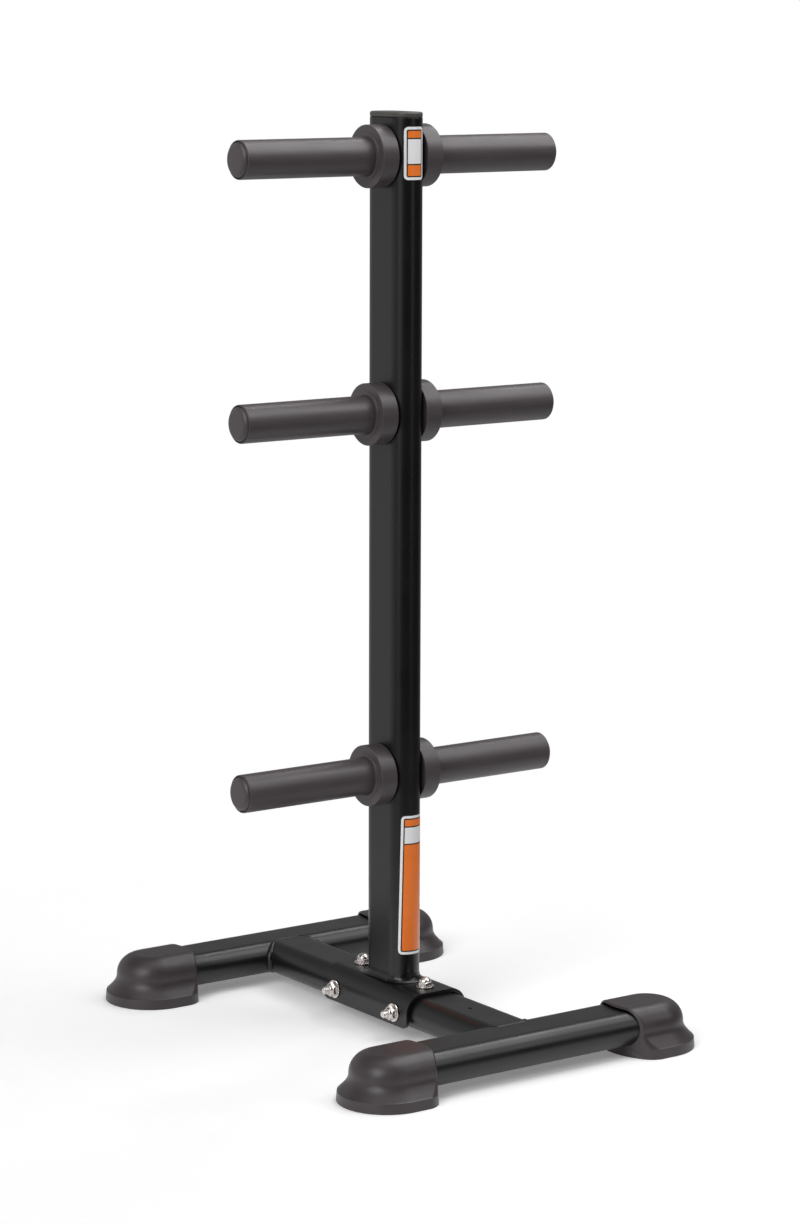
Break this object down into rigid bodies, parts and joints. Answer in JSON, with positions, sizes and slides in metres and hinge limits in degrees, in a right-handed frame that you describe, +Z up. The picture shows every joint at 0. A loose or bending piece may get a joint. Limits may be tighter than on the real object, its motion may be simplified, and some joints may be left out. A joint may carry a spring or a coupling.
{
  "type": "plate tree",
  "caption": "Free-standing plate tree: upright flat-oval post with round storage pegs on both sides, on an H-shaped tube base with moulded rubber boots.",
  "frame": {"origin": "on the floor, under the middle of the upright post", "axes": "+Z up along the post; the pegs and the cross tubes run along X; the stretcher runs along Y, with the front of the stand at -Y"},
  "size_m": [0.5346, 0.6764, 1.1911],
  "materials": {
    "frame_paint": "semi-gloss black powder coat",
    "horn_steel": "drawn steel tube",
    "peg_plastic": "fine matte moulded nylon",
    "cap_plastic": "fine matte moulded polyethylene",
    "boot_rubber": "matte moulded rubber",
    "bright_zinc": "bright zinc plate",
    "label_film": "printed vinyl film"
  },
  "bodies": {
    "root": {"stretcher_tube": "frame_paint", "front_cross_tube": "frame_paint", "back_cross_tube": "frame_paint", "front_left_boot": "boot_rubber", "front_right_boot": "boot_rubber", "back_left_boot": "boot_rubber", "back_right_boot": "boot_rubber", "saddle_bracket": "frame_paint", "post_tube": "frame_paint", "post_cap": "cap_plastic", "front_side_bolt": "bright_zinc", "front_side_nut": "bright_zinc", "front_left_washer": "bright_zinc", "front_right_washer": "bright_zinc", "back_side_bolt": "bright_zinc", "back_side_nut": "bright_zinc", "back_left_washer": "bright_zinc", "back_right_washer": "bright_zinc", "front_top_stud": "bright_zinc", "front_top_washer": "bright_zinc", "front_top_cap_nut": "bright_zinc", "back_top_stud": "bright_zinc", "back_top_washer": "bright_zinc", "back_top_cap_nut": "bright_zinc", "lower_horn_tube": "horn_steel", "lower_left_collar": "peg_plastic", "lower_left_sleeve": "peg_plastic", "lower_left_end_plug": "peg_plastic", "lower_right_collar": "peg_plastic", "lower_right_sleeve": "peg_plastic", "lower_right_end_plug": "peg_plastic", "middle_horn_tube": "horn_steel", "middle_left_collar": "peg_plastic", "middle_left_sleeve": "peg_plastic", "middle_left_end_plug": "peg_plastic", "middle_right_collar": "peg_plastic", "middle_right_sleeve": "peg_plastic", "middle_right_end_plug": "peg_plastic", "upper_horn_tube": "horn_steel", "upper_left_collar": "peg_plastic", "upper_left_sleeve": "peg_plastic", "upper_left_end_plug": "peg_plastic", "upper_right_collar": "peg_plastic", "upper_right_sleeve": "peg_plastic", "upper_right_end_plug": "peg_plastic"}
  },
  "joints": []
}
